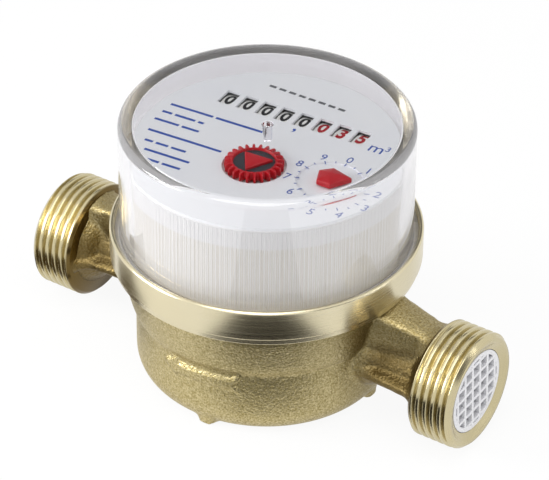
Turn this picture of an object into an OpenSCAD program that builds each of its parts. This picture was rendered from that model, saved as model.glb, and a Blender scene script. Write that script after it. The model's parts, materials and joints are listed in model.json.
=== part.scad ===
// Single-jet dry-dial water meter, nominal size DN 15.
// Frame: X along the pipe (inlet at +X, outlet at -X), +Z up, origin under the middle of the pot.

/* [Body] */
// Length over the two threaded ends
face_to_face = 110; // [106:1:130]
// Height of the pipe axis above the base
axis_height = 14.4; // [14:0.1:16]
// Step from the shoulder's radius in to the pot's
shoulder_flare = 3.2; // [2:0.1:4]
// Rounding of the pot's bottom edge
pot_fillet = 6; // [3:0.5:7]
// Height of the crease where the pot starts to widen
crease_height = 17.5; // [15:0.5:20]
// Step from the neck's radius out to the shoulder's
shoulder_step = 0.8; // [0.5:0.1:1.4]
// Thickness of the pot's floor
floor_t = 5; // [4:0.5:6]
// Diameter of the measuring chamber
chamber_d = 43; // [42:0.5:45]
// Height of the seat of the pressure plate
ledge_height = 30; // [29:0.5:32]
// Wall of the neck that the head ring screws on
neck_wall = 4; // [3:0.1:5]
// Diameter of the small feet under the pot
foot_d = 4.4; // [3:0.2:5]

/* [Branches] */
// Major diameter of the pipe thread
thread_d = 26.44; // [26:0.01:27]
// Pitch of the pipe thread
thread_pitch = 1.814; // [1.5:0.001:2]
// Length of the threaded end
thread_length = 10; // [9:0.5:12]
// Chamfer at the thread's outer edge
thread_chamfer = 0.9; // [0.5:0.1:1.2]
// Bore of the water way
bore_d = 11; // [9:0.5:12]
// Bore of the mouths that take the strainer and the non-return insert
mouth_d = 19; // [18:0.5:20]
// Depth of those mouths
mouth_depth = 9.6; // [9:0.1:9.8]
// Diameter of the tube between the pot and the thread
tube_d = 15; // [14.5:0.1:16]
// Height of the roof rib above the pipe axis at the thread
rib_rise = 11.2; // [10.5:0.1:11.6]
// Rise of the roof rib towards the pot, in degrees
rib_slope = 13; // [8:1:14]
// Width of the roof rib at the thread
rib_w = 7; // [6:0.5:10]
// Widening of the roof rib towards the pot, to each side
rib_spread = 3; // [1:0.5:4]
// Width of the parting ledge at the thread
ledge_w = 18.4; // [17:0.2:20]
// Thickness of the parting ledge
ledge_t = 2; // [1.5:0.1:3]
// Diameter of the jet into the chamber
jet_d = 7; // [6:0.5:8]
// Sideways offset of the jet from the pipe axis
jet_offset = 5; // [3:0.5:5.5]

/* [Head ring] */
// Wall of the ring's skirt around the neck
ring_wall = 3.1; // [2.8:0.1:4]
// Taper of the ring's radius down to its lower edge
ring_taper = 0.6; // [0.2:0.1:0.8]
// Length of the ring's skirt below the top of the neck
ring_skirt_h = 4.6; // [4:0.1:5]
// Thickness of the ring's inner flange
ring_flange_t = 1.2; // [1:0.1:1.6]
// Overlap of that flange on the pressure plate
ring_overlap = 2; // [1.5:0.1:4]
// Height of the ring's lip above that flange
ring_lip_h = 3; // [2.6:0.1:4]
// Thickness of that lip
ring_lip_t = 0.9; // [0.7:0.05:1]
// Height of the bead inside the lip that snaps over the cover's flange
bead_h = 0.5; // [0.3:0.1:0.6]
// Reach of that bead
bead_reach = 0.3; // [0.2:0.05:0.4]

/* [Pressure plate] */
// Thickness of the plate's rim
plate_t = 3; // [2.5:0.1:4]
// Depth of the plug that closes the chamber
plug_depth = 5; // [4:0.5:6]
// Thickness of the wall between the two magnets
membrane_t = 1.6; // [1.2:0.1:2]
// Section of the plate seal
seal_section = 2; // [1.6:0.1:2.2]

/* [Impeller] */
// Diameter over the vanes
impeller_d = 37; // [34:0.5:39]
// Number of vanes
vane_count = 8; // [6:1:10]
// Thickness of a vane
vane_t = 1.2; // [1:0.1:1.6]
// Height of the vanes
vane_h = 12; // [10:0.5:13]
// Diameter of the hub
hub_d = 9; // [8:0.5:10]
// Diameter of the impeller shaft
shaft_d = 1.6; // [1.4:0.1:2]
// Diameter of the impeller magnet
magnet_d = 12; // [10:0.5:12.5]
// Height of the magnets
magnet_h = 3; // [2:0.1:3.4]
// Outer diameter of the lower pivot bush
bush_d = 6; // [5:0.5:7]
// Height of the lower pivot bush above the floor
bush_h = 1.8; // [1.4:0.1:2]

/* [Strainer] */
// Length of the strainer
strainer_length = 8; // [7:0.5:8.5]
// Wall of the strainer
strainer_wall = 1; // [0.8:0.1:1.2]
// Depth of the strainer's front below the end face
strainer_recess = 0.8; // [0.4:0.1:1.5]
// Spacing of the strainer's bars
grid_pitch = 3; // [2.5:0.1:4]
// Width of the strainer's bars
grid_bar = 0.75; // [0.6:0.05:1]
// Depth of the strainer's bars
grid_depth = 1.6; // [1.2:0.1:2]
// Turn of the grid about the pipe axis, in degrees
grid_turn = 4; // [0:1:45]

/* [Register] */
// Turn of the register in the head ring, in degrees
dial_turn = 5; // [0:1:30]
// Room between the drum frame and the wall of the register cup
cup_room = 0.33; // [0.3:0.01:1]
// Wall of the register cup
cup_wall = 1.2; // [1:0.1:1.3]
// Thickness of the register cup's floor
cup_floor_t = 1.5; // [1.2:0.1:2]
// Inside height of the register cup
cup_inside_h = 19.3; // [19.2:0.1:20]
// Number of flutes around the cup
flute_count = 180; // [120:10:180]
// Depth of a flute
flute_depth = 0.15; // [0.1:0.01:0.2]
// Thickness of the dial plate
dial_t = 0.6; // [0.5:0.05:0.8]
// Thickness of the train plate
train_plate_t = 1.2; // [1:0.1:1.5]
// Height of the train plate above the cup's floor
train_height = 14.1; // [14:0.1:14.4]
// Diameter of the pillars that carry the train plate
pillar_d = 3.6; // [3:0.1:3.7]
// Room between those pillars and the wall of the cup
pillar_room = 0.7; // [0.5:0.1:0.9]
// Diameter of the screws in the pillars
screw_d = 1.6; // [1.2:0.1:1.8]
// Diameter of the screw heads
screw_head_d = 3; // [2.6:0.1:3.4]
// Height of the screw heads
screw_head_h = 1; // [0.8:0.1:1.2]

/* [Cover] */
// Wall of the cover
cover_wall = 3; // [2.7:0.1:3]
// Thickness of the cover's top
cover_top_t = 2.4; // [2:0.1:3]
// Room between the dial and the cover's top
dial_room = 5; // [4.6:0.1:6]
// Outer rounding of the cover's top edge
cover_fillet = 1.5; // [1:0.1:2.4]
// Inner rounding of the cover's top edge
cover_inner_fillet = 0.5; // [0.3:0.1:1]
// Width of the cover's flange
cover_flange_w = 1.2; // [0.8:0.1:1.6]
// Thickness of the cover's flange
cover_flange_t = 1.2; // [1:0.1:1.4]
// Diameter of the post under the cover's top
post_d = 2.2; // [1.6:0.1:3]
// Length of that post
post_length = 4; // [3:0.5:4.5]

/* [Number drums] */
// Spacing of the drums
drum_pitch = 4.6; // [4.5:0.05:4.6]
// Diameter of the numbered rim
drum_d = 16; // [15:0.1:16.2]
// Width of the numbered rim
rim_w = 2.9; // [2.8:0.05:3]
// Distance of the drums from the register's axis
row_y = 11.9; // [11.8:0.1:12]
// Room between the drums and the dial plate
drum_room = 0.2; // [0.15:0.05:0.4]
// Width of a window
window_w = 3.3; // [3:0.1:3.5]
// Length of a window
window_l = 5.2; // [4.5:0.1:5.6]
// Diameter of the drum shaft
drum_shaft_d = 2; // [1.6:0.1:2.2]
// Diameter of the pinion shaft
pinion_shaft_d = 1.2; // [1:0.1:1.3]
// Thickness of the drum frame's cheeks
cheek_t = 1.2; // [1:0.1:1.2]
// Module of the drum wheels and transfer pinions
drum_module = 0.63; // [0.63:0.01:0.64]
// Angle of the pinion shaft below the drum shaft, in degrees
pinion_angle = 53; // [52:1:54]

/* [Gear train] */
// Star wheel, place across the dial
star_x = 1.6; // [1.2:0.1:2]
// Star wheel, place towards the reader
star_y = -8.6; // [-9:0.1:-8.2]
// Diameter of the star wheel
star_d = 12.3; // [11:0.1:12.6]
// Thickness of the star wheel
star_t = 2; // [1.5:0.1:2.2]
// Number of points on the star wheel
star_points = 24; // [16:1:28]
// Litre pointer, place across the dial
pointer_x = 18.3; // [18:0.1:18.5]
// Litre pointer, place towards the reader
pointer_y = -6; // [-6.3:0.1:-5.8]
// Reach of the litre pointer
pointer_reach = 4.6; // [4:0.1:5]
// Thickness of the litre pointer
pointer_t = 1.4; // [1:0.1:1.6]
// Diameter of the arbors
arbor_d = 1.6; // [1.2:0.1:1.6]
// Thickness of the wheels
wheel_t = 1.4; // [1.2:0.1:1.6]
// Module of the second pair of wheels
second_module = 0.44; // [0.43:0.01:0.45]
// Module of the third pair of wheels
third_module = 0.36; // [0.35:0.01:0.37]
// Module of the wheels that drive the worm
worm_wheel_module = 0.4; // [0.39:0.01:0.4]
// Diameter over the worm's thread
worm_d = 5.4; // [5:0.1:5.4]
// Length of the worm
worm_length = 4.6; // [4:0.2:5.4]

/* [Fits] */
// Running clearance of shafts and pivots, on the radius
run_clear = 0.05; // [0.03:0.01:0.08]
// Clearance of pieces that are pressed or laid together, on the radius
seat_clear = 0.1; // [0.05:0.01:0.15]
// Room between the register and the head ring
turn_clear = 0.2; // [0.1:0.05:0.25]

/* [Hidden] */
$fn = 64;

// Colours of the materials
brass = [0.72, 0.62, 0.36];
bright_brass = [0.80, 0.69, 0.40];
white_plastic = [0.92, 0.92, 0.93];
clear_plastic = [0.85, 0.90, 0.95, 0.35];
red_plastic = [0.78, 0.07, 0.10];
steel = [0.70, 0.71, 0.73];
ferrite = [0.16, 0.16, 0.17];
rubber = [0.08, 0.08, 0.08];

// A little more than a wall, so that a cut goes right through it
over = 1;
// Heights from the base upwards
neck_top = ledge_height + plate_t;
ring_bottom = neck_top - ring_skirt_h;
ring_floor = neck_top + ring_flange_t;
ring_top = ring_floor + ring_lip_h;
cup_base = ring_floor + turn_clear;
cup_floor = cup_base + cup_floor_t;
cup_rim = cup_floor + cup_inside_h;
dial_top = cup_rim + dial_t;
cover_inside = dial_top + dial_room;
cover_top = cover_inside + cover_top_t;
// Branches
thread_start = face_to_face / 2 - thread_length;
thread_depth = 0.64 * thread_pitch;
// Half widths of a thread ridge at its foot and its crest, in pitches
ridge_foot = 0.42;
ridge_crest = 0.12;
thread_r = thread_d / 2;
// Impeller stack
bush_top = floor_t + bush_h;
vane_bottom = bush_top + 2 * turn_clear;
vane_top = vane_bottom + vane_h;
plug_bottom = ledge_height - plug_depth;
magnet_pocket_top = neck_top - membrane_t;
impeller_magnet_top = magnet_pocket_top - 2 * turn_clear;
hub_top = impeller_magnet_top - magnet_h;
pivot_depth = 0.8;
// Gear teeth: addendum and dedendum in modules, tooth share of the pitch, and half its taper
tooth_add = 0.8;
tooth_ded = 1.1;
tooth_share = 0.40;
tooth_taper = 0.18;
// Teeth of the train: the impeller turns thirty times for one turn of the litre pointer
follower_teeth = 10;
star_teeth = 30;
second_pinion_teeth = 10;
second_teeth = 30;
third_pinion_teeth = 12;
pointer_teeth = 40;
worm_wheel_teeth = 20;
idler_teeth = 16;
drum_teeth = 20;
drum_pinion_teeth = 8;
worm_gear_teeth = 10;
// Heights of the four gear levels
boss_h = 0.5;
level_low = cup_floor + boss_h + turn_clear;
rotor_disc_t = 0.8;
level_gap = 1.6;
level_one = level_low + magnet_h + rotor_disc_t + 3 * turn_clear;
level_two = level_one + wheel_t + level_gap;
level_three = level_two + wheel_t + level_gap;
train_z = cup_floor + train_height;
// Drums: the first is at the right-hand end
drum_count = 8;
drum_r = drum_d / 2;
drum_z = cup_rim - drum_room - drum_r;
flank_w = (drum_pitch - rim_w) / 2 - seat_clear;
drum_pinion_w = drum_pitch - rim_w - 2 * seat_clear;
pinion_distance = drum_module * (drum_teeth + drum_pinion_teeth) / 2;
pinion_y = row_y + pinion_distance * cos(pinion_angle);
pinion_z = drum_z - pinion_distance * sin(pinion_angle);
carry_r = pinion_distance - drum_module * (drum_pinion_teeth / 2 + tooth_add) - seat_clear;
function drum_x(i) = (drum_count / 2 + 0.5 - i) * drum_pitch;
right_cheek_x = drum_x(1) + rim_w / 2 + 2 * turn_clear;
left_cheek_x = drum_x(drum_count) - rim_w / 2 - flank_w - 2 * turn_clear - cheek_t;
sleeve_d = drum_shaft_d + 2;
// Material of the drum frame around the pinion shaft and around the drum shaft
pinion_margin = 1.3;
shaft_margin = 2.6;
strip_w = 1.6;
// Radii from the drum frame's furthest corner outwards: cup, cover, head ring
frame_reach = norm([left_cheek_x, pinion_y + pinion_margin]);
cup_inner_r = frame_reach + cup_room;
cup_r = cup_inner_r + cup_wall;
pillar_circle_r = cup_inner_r - pillar_room - pillar_d / 2;
cover_inner_r = cup_r + turn_clear;
cover_r = cover_inner_r + cover_wall;
cover_flange_r = cover_r + cover_flange_w;
lip_inner_r = cover_flange_r + seat_clear;
ring_r = lip_inner_r + ring_lip_t;
// and from the head ring inwards: neck, pressure plate, seal, shoulder, pot
neck_r = ring_r - ring_wall;
plate_r = neck_r - neck_wall;
ring_flange_r = plate_r - ring_overlap;
seal_mid_r = (chamber_d / 2 + plate_r) / 2;
shoulder_r = neck_r + shoulder_step;
pot_r = shoulder_r - shoulder_flare;
// Worm: it stands in front of a small wheel on the first drum's sleeve, outside the right cheek
worm_gear_t = 0.8;
worm_r = worm_d / 2;
worm_x = drum_x(1) + rim_w / 2 + turn_clear + seat_clear + worm_r;
worm_tooth_h = 1;
worm_gear_r = drum_module * (worm_gear_teeth / 2 + tooth_add);
worm_y = row_y - worm_gear_r - (worm_r - worm_tooth_h) - seat_clear;
worm_lead = PI * drum_module;
// Undersides of the star wheel and of the litre pointer
star_base = dial_top + 2 * turn_clear - star_t / 2;
pointer_base = dial_top + seat_clear;
// Places of the arbors in the register, seen from above
follower_at = [0, 0];
star_at = [star_x, star_y];
pointer_at = [pointer_x, pointer_y];
worm_at = [worm_x, worm_y];
first_module = 2 * norm(star_at - follower_at) / (follower_teeth + star_teeth);
second_distance = second_module * (second_pinion_teeth + second_teeth) / 2;
third_distance = third_module * (third_pinion_teeth + pointer_teeth) / 2;
idler_distance = worm_wheel_module * (worm_wheel_teeth + idler_teeth) / 2;
// The point at distance r from a and s from b, to the right of the way from a to b
function right_of(a, b, r, s) =
  let (d = norm(b - a), u = (b - a) / d, along = (r * r - s * s + d * d) / (2 * d),
       aside = sqrt(r * r - along * along))
  a + along * u + aside * [u[1], -u[0]];
second_at = right_of(star_at, pointer_at, second_distance, third_distance);
idler_at = right_of(worm_at, pointer_at, idler_distance, idler_distance);
// Arbors that reach from the cup's floor to the train plate; the idler turns on a short stud
long_arbors = [follower_at, star_at, second_at, pointer_at, worm_at];
pillar_angles = [3.5, 180, 235, 290];

function polar(r, a) = [r * cos(a), r * sin(a)];
function bearing(a, b) = atan2(b[1] - a[1], b[0] - a[0]);
// Phase of a wheel of n teeth at b that meshes with one of m teeth and phase p at a
function meshed(m, p, n, a, b) = bearing(a, b) + 180 + 180 / n - (m / n) * (p - bearing(a, b));
// Outline of a gear: four points a tooth, with straight flanks
function gear_outline(n, module_mm) =
  let (pitch_r = n * module_mm / 2, half = 180 / n,
       tip_r = pitch_r + tooth_add * module_mm, root_r = pitch_r - tooth_ded * module_mm,
       root_a = half * (tooth_share + tooth_taper), tip_a = half * (tooth_share - tooth_taper))
  [for (i = [0 : n - 1]) each [
    polar(root_r, 2 * half * i - root_a), polar(tip_r, 2 * half * i - tip_a),
    polar(tip_r, 2 * half * i + tip_a), polar(root_r, 2 * half * i + root_a)]];

star_phase = meshed(follower_teeth, 0, star_teeth, follower_at, star_at);
second_phase = meshed(second_pinion_teeth, 0, second_teeth, star_at, second_at);
pointer_phase = meshed(third_pinion_teeth, 0, pointer_teeth, second_at, pointer_at);
idler_phase = meshed(worm_wheel_teeth, 0, idler_teeth, pointer_at, idler_at);
worm_phase = meshed(idler_teeth, idler_phase, worm_wheel_teeth, idler_at, worm_at);

module gear(n, module_mm, t, phase = 0) {
  linear_extrude(t) rotate(phase) polygon(gear_outline(n, module_mm));
}

// A ring between two radii and two heights, for use in a revolved profile
module band(r1, r2, z1, z2) {
  translate([r1, z1]) square([r2 - r1, z2 - z1]);
}

// Places its children in the turned register
module in_register() {
  rotate([0, 0, dial_turn]) children();
}

// Places its children at an arbor of the register, at a height
module at_arbor(p, z = 0) {
  in_register() translate([p[0], p[1], z]) children();
}

// Lays its children along the register's X axis, with their Z axis along X
module along_row(x, y, z) {
  in_register() translate([x, y, z]) rotate([90, 0, 90]) children();
}

// Revolved outline of the pot, the shoulder and the neck
module pot_profile() {
  crease_step = 0.65;
  band(0, pot_r - pot_fillet, 0, pot_fillet);
  band(0, pot_r, pot_fillet, crease_height);
  intersection() {
    translate([pot_r - pot_fillet, pot_fillet]) circle(pot_fillet);
    band(0, pot_r, 0, pot_fillet);
  }
  polygon([[0, crease_height], [pot_r + crease_step, crease_height],
           [pot_r + 2 * crease_step, crease_height + 3 * crease_step],
           [shoulder_r, ring_bottom - 2 * crease_step], [shoulder_r, ring_bottom], [0, ring_bottom]]);
  band(0, neck_r, ring_bottom, neck_top);
}

// Revolved outline of a threaded end, from the inner end (0) to the face
module thread_profile() {
  turns = floor((thread_length - thread_chamfer) / thread_pitch);
  band(0, thread_r - thread_depth, 0, thread_length);
  intersection() {
    for (i = [0 : turns]) {
      z = thread_length - (i + 0.5) * thread_pitch;
      foot = ridge_foot * thread_pitch;
      crest = ridge_crest * thread_pitch;
      polygon([[0, z - foot], [thread_r - thread_depth, z - foot], [thread_r, z - crest],
               [thread_r, z + crest], [thread_r - thread_depth, z + foot], [0, z + foot]]);
    }
    polygon([[0, 0], [thread_r, 0], [thread_r, thread_length - thread_chamfer],
             [thread_r - thread_chamfer, thread_length], [0, thread_length]]);
  }
}

// Threaded end and neck of one branch, along +X: a tube with a ledge on the parting plane and a
// sloping roof rib above it
module branch() {
  neck_start = pot_r - pot_fillet;
  neck_length = thread_start - neck_start;
  pot_rise = rib_rise + neck_length * tan(rib_slope);
  translate([thread_start, 0, axis_height]) rotate([0, 90, 0]) rotate_extrude() thread_profile();
  translate([neck_start, 0, axis_height]) rotate([0, 90, 0]) cylinder(d = tube_d, h = neck_length + over);
  intersection() {
    translate([neck_start, 0, axis_height]) rotate([0, 90, 0])
      cylinder(r1 = pot_rise, r2 = rib_rise, h = neck_length + over);
    translate([0, 0, axis_height]) linear_extrude(ring_bottom - axis_height)
      neck_plan(neck_start, rib_w / 2 + rib_spread, rib_w / 2);
  }
  translate([0, 0, axis_height - ledge_t]) linear_extrude(ledge_t)
    neck_plan(neck_start, tube_d / 2, ledge_w / 2);
}

// Plan of a neck piece from the pot to the thread, with its half width at each end
module neck_plan(x, pot_half, thread_half) {
  end = thread_start + over;
  polygon([[x, -pot_half], [end, -thread_half], [end, thread_half], [x, pot_half]]);
}

// Water way of one branch: mouth and bore, along +X
module water_way() {
  translate([chamber_d / 2 + over, 0, axis_height]) rotate([0, 90, 0])
    cylinder(d = bore_d, h = face_to_face);
  translate([face_to_face / 2 - mouth_depth, 0, axis_height]) rotate([0, 90, 0])
    cylinder(d = mouth_d, h = mouth_depth + over);
}

module body() {
  foot_inset = 1;
  jet_length = chamber_d / 2 + 3;
  color(brass) difference() {
    union() {
      rotate_extrude() pot_profile();
      for (turn = [0, 180]) rotate([0, 0, turn]) branch();
      for (turn = [0 : 90 : 270]) rotate([0, 0, turn + dial_turn])
        translate([pot_r - foot_d / 2 - foot_inset, 0, 0]) cylinder(d = foot_d, h = pot_fillet / 2);
    }
    translate([0, 0, floor_t]) cylinder(d = chamber_d, h = neck_top);
    translate([0, 0, ledge_height]) cylinder(r = plate_r + seat_clear, h = neck_top);
    for (turn = [0, 180]) rotate([0, 0, turn]) water_way();
    translate([0, jet_offset, axis_height]) rotate([0, 90, 0]) cylinder(d = jet_d, h = jet_length);
    translate([0, 0, axis_height]) rotate([0, -90, 0]) cylinder(d = jet_d, h = jet_length);
    translate([0, 0, ledge_height]) rotate_extrude() seal_groove();
    translate([0, 0, floor_t - bush_h]) cylinder(d = bush_d, h = floor_t);
  }
}

// Groove of the plate seal below the ledge
module seal_groove() {
  half = seal_section / 2 + seat_clear;
  translate([seal_mid_r - half, -2 * half]) square([2 * half, 3 * half]);
}

module head_ring() {
  inner_r = neck_r + run_clear;
  edge = 0.4;
  cone_h = 2;
  bead_z = ring_floor + cover_flange_t + 2 * turn_clear;
  color(bright_brass) rotate_extrude() {
    polygon([[inner_r, ring_bottom], [ring_r - ring_taper - edge, ring_bottom],
             [ring_r - ring_taper, ring_bottom + edge], [ring_r, ring_bottom + cone_h],
             [ring_r, ring_top - edge], [ring_r - edge, ring_top], [lip_inner_r, ring_top],
             [lip_inner_r, bead_z + bead_h + bead_reach], [lip_inner_r - bead_reach, bead_z + bead_h],
             [lip_inner_r - bead_reach, bead_z], [lip_inner_r, bead_z], [lip_inner_r, ring_floor],
             [ring_flange_r, ring_floor], [ring_flange_r, neck_top], [inner_r, neck_top]]);
  }
}

module pressure_plate() {
  pocket_r = magnet_d / 2 + 1;
  color(white_plastic) rotate_extrude() {
    band(0, plate_r, magnet_pocket_top, neck_top);
    band(pocket_r, plate_r, ledge_height, neck_top);
    band(pocket_r, chamber_d / 2 - seat_clear, plug_bottom, neck_top);
  }
}

module plate_seal() {
  color(rubber) translate([0, 0, ledge_height - seal_section / 2 - seat_clear])
    rotate_extrude() translate([seal_mid_r, 0]) circle(d = seal_section);
}

module inlet_strainer() {
  outer_r = mouth_d / 2 - seat_clear;
  inner_r = outer_r - strainer_wall;
  cell = grid_pitch - grid_bar;
  reach = ceil(outer_r / grid_pitch);
  color(white_plastic)
    translate([face_to_face / 2 - strainer_recess - strainer_length, 0, axis_height]) rotate([90, 0, 90])
    difference() {
      cylinder(r = outer_r, h = strainer_length);
      translate([0, 0, -over]) cylinder(r = inner_r, h = strainer_length - grid_depth + over);
      intersection() {
        cylinder(r = inner_r, h = strainer_length + over);
        rotate(grid_turn) for (i = [-reach : reach], j = [-reach : reach])
          translate([i * grid_pitch - cell / 2, j * grid_pitch - cell / 2, 0])
            cube([cell, cell, strainer_length + over]);
      }
    }
}

module lower_pivot_bush() {
  color(steel) translate([0, 0, floor_t - bush_h]) difference() {
    cylinder(d = bush_d, h = 2 * bush_h);
    translate([0, 0, 2 * bush_h - pivot_depth]) cylinder(d = shaft_d + 2 * run_clear, h = bush_h);
  }
}

module impeller() {
  color(white_plastic) difference() {
    union() {
      translate([0, 0, vane_bottom]) cylinder(d = hub_d, h = hub_top - vane_bottom);
      intersection() {
        translate([0, 0, vane_bottom]) cylinder(d = impeller_d, h = vane_h);
        for (i = [0 : vane_count - 1]) rotate([0, 0, i * 360 / vane_count])
          translate([0, -vane_t / 2, 0]) cube([impeller_d, vane_t, hub_top]);
      }
    }
    cylinder(d = shaft_d, h = neck_top);
  }
}

module impeller_shaft() {
  tip = bush_top - pivot_depth + run_clear;
  color(steel) translate([0, 0, tip]) cylinder(d = shaft_d, h = hub_top - tip);
}

module impeller_magnet() {
  color(ferrite) translate([0, 0, hub_top]) cylinder(d = magnet_d, h = magnet_h);
}

// Outline of the fluted wall: a shallow wave of corners around the cup
function flute_outline() = [for (i = [0 : 2 * flute_count - 1])
  polar(cup_r - (i % 2) * flute_depth, i * 180 / flute_count)];

module register_cup() {
  color(white_plastic) in_register() translate([0, 0, cup_base]) difference() {
    union() {
      difference() {
        linear_extrude(cup_floor_t + cup_inside_h) polygon(flute_outline());
        translate([0, 0, cup_floor_t]) cylinder(r = cup_inner_r, h = cup_inside_h + over);
      }
      for (p = concat(long_arbors, [idler_at])) translate([p[0], p[1], 0])
        cylinder(d = 2 * arbor_d, h = cup_floor_t + boss_h);
      translate([idler_at[0], idler_at[1], 0])
        cylinder(d = arbor_d, h = level_low + wheel_t + 2 * turn_clear - cup_base);
      for (a = pillar_angles) translate(concat(polar(pillar_circle_r, a), 0))
        cylinder(d = pillar_d, h = cup_floor_t + train_height);
    }
    for (p = long_arbors) translate([p[0], p[1], cup_floor_t + boss_h - pivot_depth])
      cylinder(d = arbor_d + 2 * run_clear, h = over + pivot_depth);
    for (a = pillar_angles) translate(concat(polar(pillar_circle_r, a), cup_floor_t + train_height / 2))
      cylinder(d = screw_d, h = train_height);
  }
}

module train_plate() {
  edge_y = row_y - drum_r - 2 * seat_clear - 1;
  tongue_d = 5;
  color(white_plastic) in_register() translate([0, 0, train_z]) linear_extrude(train_plate_t) difference() {
    union() {
      intersection() {
        circle(cup_inner_r - 2 * turn_clear);
        translate([-cup_r, -cup_r]) square([2 * cup_r, cup_r + edge_y]);
      }
      translate(worm_at) circle(d = tongue_d);
      translate([worm_x - tongue_d / 2, 0]) square([tongue_d, worm_y]);
    }
    for (p = long_arbors) translate(p) circle(d = arbor_d + 2 * run_clear);
    for (a = pillar_angles) translate(polar(pillar_circle_r, a)) circle(d = screw_d + 2 * seat_clear);
  }
}

module train_plate_screws() {
  color(steel) in_register() for (a = pillar_angles)
    translate(concat(polar(pillar_circle_r, a), train_z + train_plate_t)) {
      cylinder(d = screw_head_d, h = screw_head_h);
      translate([0, 0, -train_height / 3]) cylinder(d = screw_d, h = train_height / 3 + over / 2);
    }
}

// Outline of a cheek of the drum frame: across the register, and up from the cup's floor
function cheek_outline() = [
  [row_y - strip_w / 2, 0], [pinion_y + pinion_margin, 0],
  [pinion_y + pinion_margin, pinion_z - cup_floor + pinion_margin],
  [row_y + shaft_margin, drum_z - cup_floor + shaft_margin],
  [row_y - shaft_margin, drum_z - cup_floor + shaft_margin],
  [row_y - shaft_margin, drum_z - cup_floor - shaft_margin]];

module drum_frame() {
  strip_t = 0.8;
  color(white_plastic) difference() {
    union() {
      for (x = [left_cheek_x, right_cheek_x]) along_row(x, 0, cup_floor)
        linear_extrude(cheek_t) polygon(cheek_outline());
      along_row(left_cheek_x, 0, cup_floor) linear_extrude(right_cheek_x - left_cheek_x + cheek_t)
        translate([row_y - strip_w / 2, 0]) square([strip_w, strip_t]);
    }
    along_row(left_cheek_x - over, row_y, drum_z) cylinder(d = drum_shaft_d, h = cheek_t + 2 * over);
    along_row(right_cheek_x - over, row_y, drum_z)
      cylinder(d = sleeve_d + 2 * run_clear, h = cheek_t + 2 * over);
    for (x = [left_cheek_x, right_cheek_x]) along_row(x - over, pinion_y, pinion_z)
      cylinder(d = pinion_shaft_d, h = cheek_t + 2 * over);
  }
}

module drum_shaft() {
  color(steel) along_row(left_cheek_x, row_y, drum_z)
    cylinder(d = drum_shaft_d, h = worm_x + worm_gear_t / 2 - left_cheek_x);
}

module pinion_shaft() {
  color(steel) along_row(left_cheek_x, pinion_y, pinion_z)
    cylinder(d = pinion_shaft_d, h = right_cheek_x + cheek_t - left_cheek_x);
}

module dial_plate() {
  star_window_d = star_d + 1.5;
  recess_d = 14.4;
  recess_depth = 0.3;
  color(white_plastic) in_register() translate([0, 0, cup_rim]) difference() {
    cylinder(r = cup_r - seat_clear, h = dial_t);
    for (i = [1 : drum_count]) translate([drum_x(i) - window_w / 2, row_y - window_l / 2, -over])
      cube([window_w, window_l, dial_t + 2 * over]);
    translate([star_x, star_y, -over]) cylinder(d = star_window_d, h = dial_t + 2 * over);
    translate([pointer_x, pointer_y, -over]) cylinder(d = arbor_d + 2 * run_clear, h = dial_t + 2 * over);
    translate([pointer_x, pointer_y, dial_t - recess_depth]) cylinder(d = recess_d, h = over);
  }
}

// Revolved outline of a plain can with a rounded top edge
module can_profile(r, z1, z2, fillet) {
  band(0, r, z1, z2 - fillet);
  band(0, r - fillet, z1, z2);
  intersection() {
    translate([r - fillet, z2 - fillet]) circle(fillet);
    band(0, r, z1, z2);
  }
}

module clear_cover() {
  color(clear_plastic) in_register() rotate_extrude() {
    difference() {
      union() {
        can_profile(cover_r, cup_base, cover_top, cover_fillet);
        band(0, cover_flange_r, cup_base, cup_base + cover_flange_t);
      }
      can_profile(cover_inner_r, cup_base - over, cover_inside, cover_inner_fillet);
    }
    band(0, post_d / 2, cover_inside - post_length, cover_inside + over);
  }
}

module shield_ring() {
  ring_wall = 0.6;
  inner_r = magnet_d / 2 + 2 * turn_clear;
  ring_h = magnet_h - 2 * turn_clear;
  color(steel) in_register() translate([0, 0, cup_floor]) difference() {
    cylinder(r = inner_r + ring_wall, h = ring_h);
    translate([0, 0, -over]) cylinder(r = inner_r, h = ring_h + 2 * over);
  }
}

// Shaft of an arbor, from its pivot in the cup's floor up to a height
module arbor(top) {
  foot = cup_floor + boss_h - pivot_depth + run_clear;
  translate([0, 0, foot]) cylinder(d = arbor_d, h = top - foot);
}

module follower_rotor() {
  disc_z = level_low + magnet_h;
  color(white_plastic) at_arbor(follower_at) {
    arbor(train_z + train_plate_t);
    translate([0, 0, disc_z]) cylinder(d = magnet_d, h = rotor_disc_t);
    translate([0, 0, level_one]) gear(follower_teeth, first_module, wheel_t);
  }
}

module follower_magnet() {
  color(ferrite) at_arbor(follower_at, level_low) difference() {
    cylinder(d = magnet_d, h = magnet_h);
    translate([0, 0, -over]) cylinder(d = arbor_d, h = magnet_h + 2 * over);
  }
}

module star_arbor() {
  color(white_plastic) at_arbor(star_at) {
    arbor(star_base);
    translate([0, 0, level_one]) gear(star_teeth, first_module, wheel_t, star_phase);
    translate([0, 0, level_two]) gear(second_pinion_teeth, second_module, wheel_t);
  }
}

// Star wheel: pointed rim, a sunk annulus and a raised triangle in the middle
module star_wheel() {
  tip_r = star_d / 2;
  root_r = tip_r - 1;
  floor_r = root_r - 1;
  hub_r = 1.4;
  half = 180 / star_points;
  sunk = 0.6;
  proud = 0.2;
  color(red_plastic) at_arbor(star_at, star_base) {
    difference() {
      linear_extrude(star_t) polygon([for (i = [0 : star_points - 1]) each [
        polar(root_r, 2 * half * i - half), polar(tip_r, 2 * half * i - half / 3),
        polar(tip_r, 2 * half * i + half / 3)]]);
      translate([0, 0, star_t - sunk]) cylinder(r = floor_r, h = over);
    }
    cylinder(r = hub_r, h = star_t);
    translate([0, 0, star_t / 2]) linear_extrude(star_t / 2 + proud)
      polygon([for (a = [90, 210, 330]) polar(floor_r - proud, a)]);
  }
}

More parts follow.
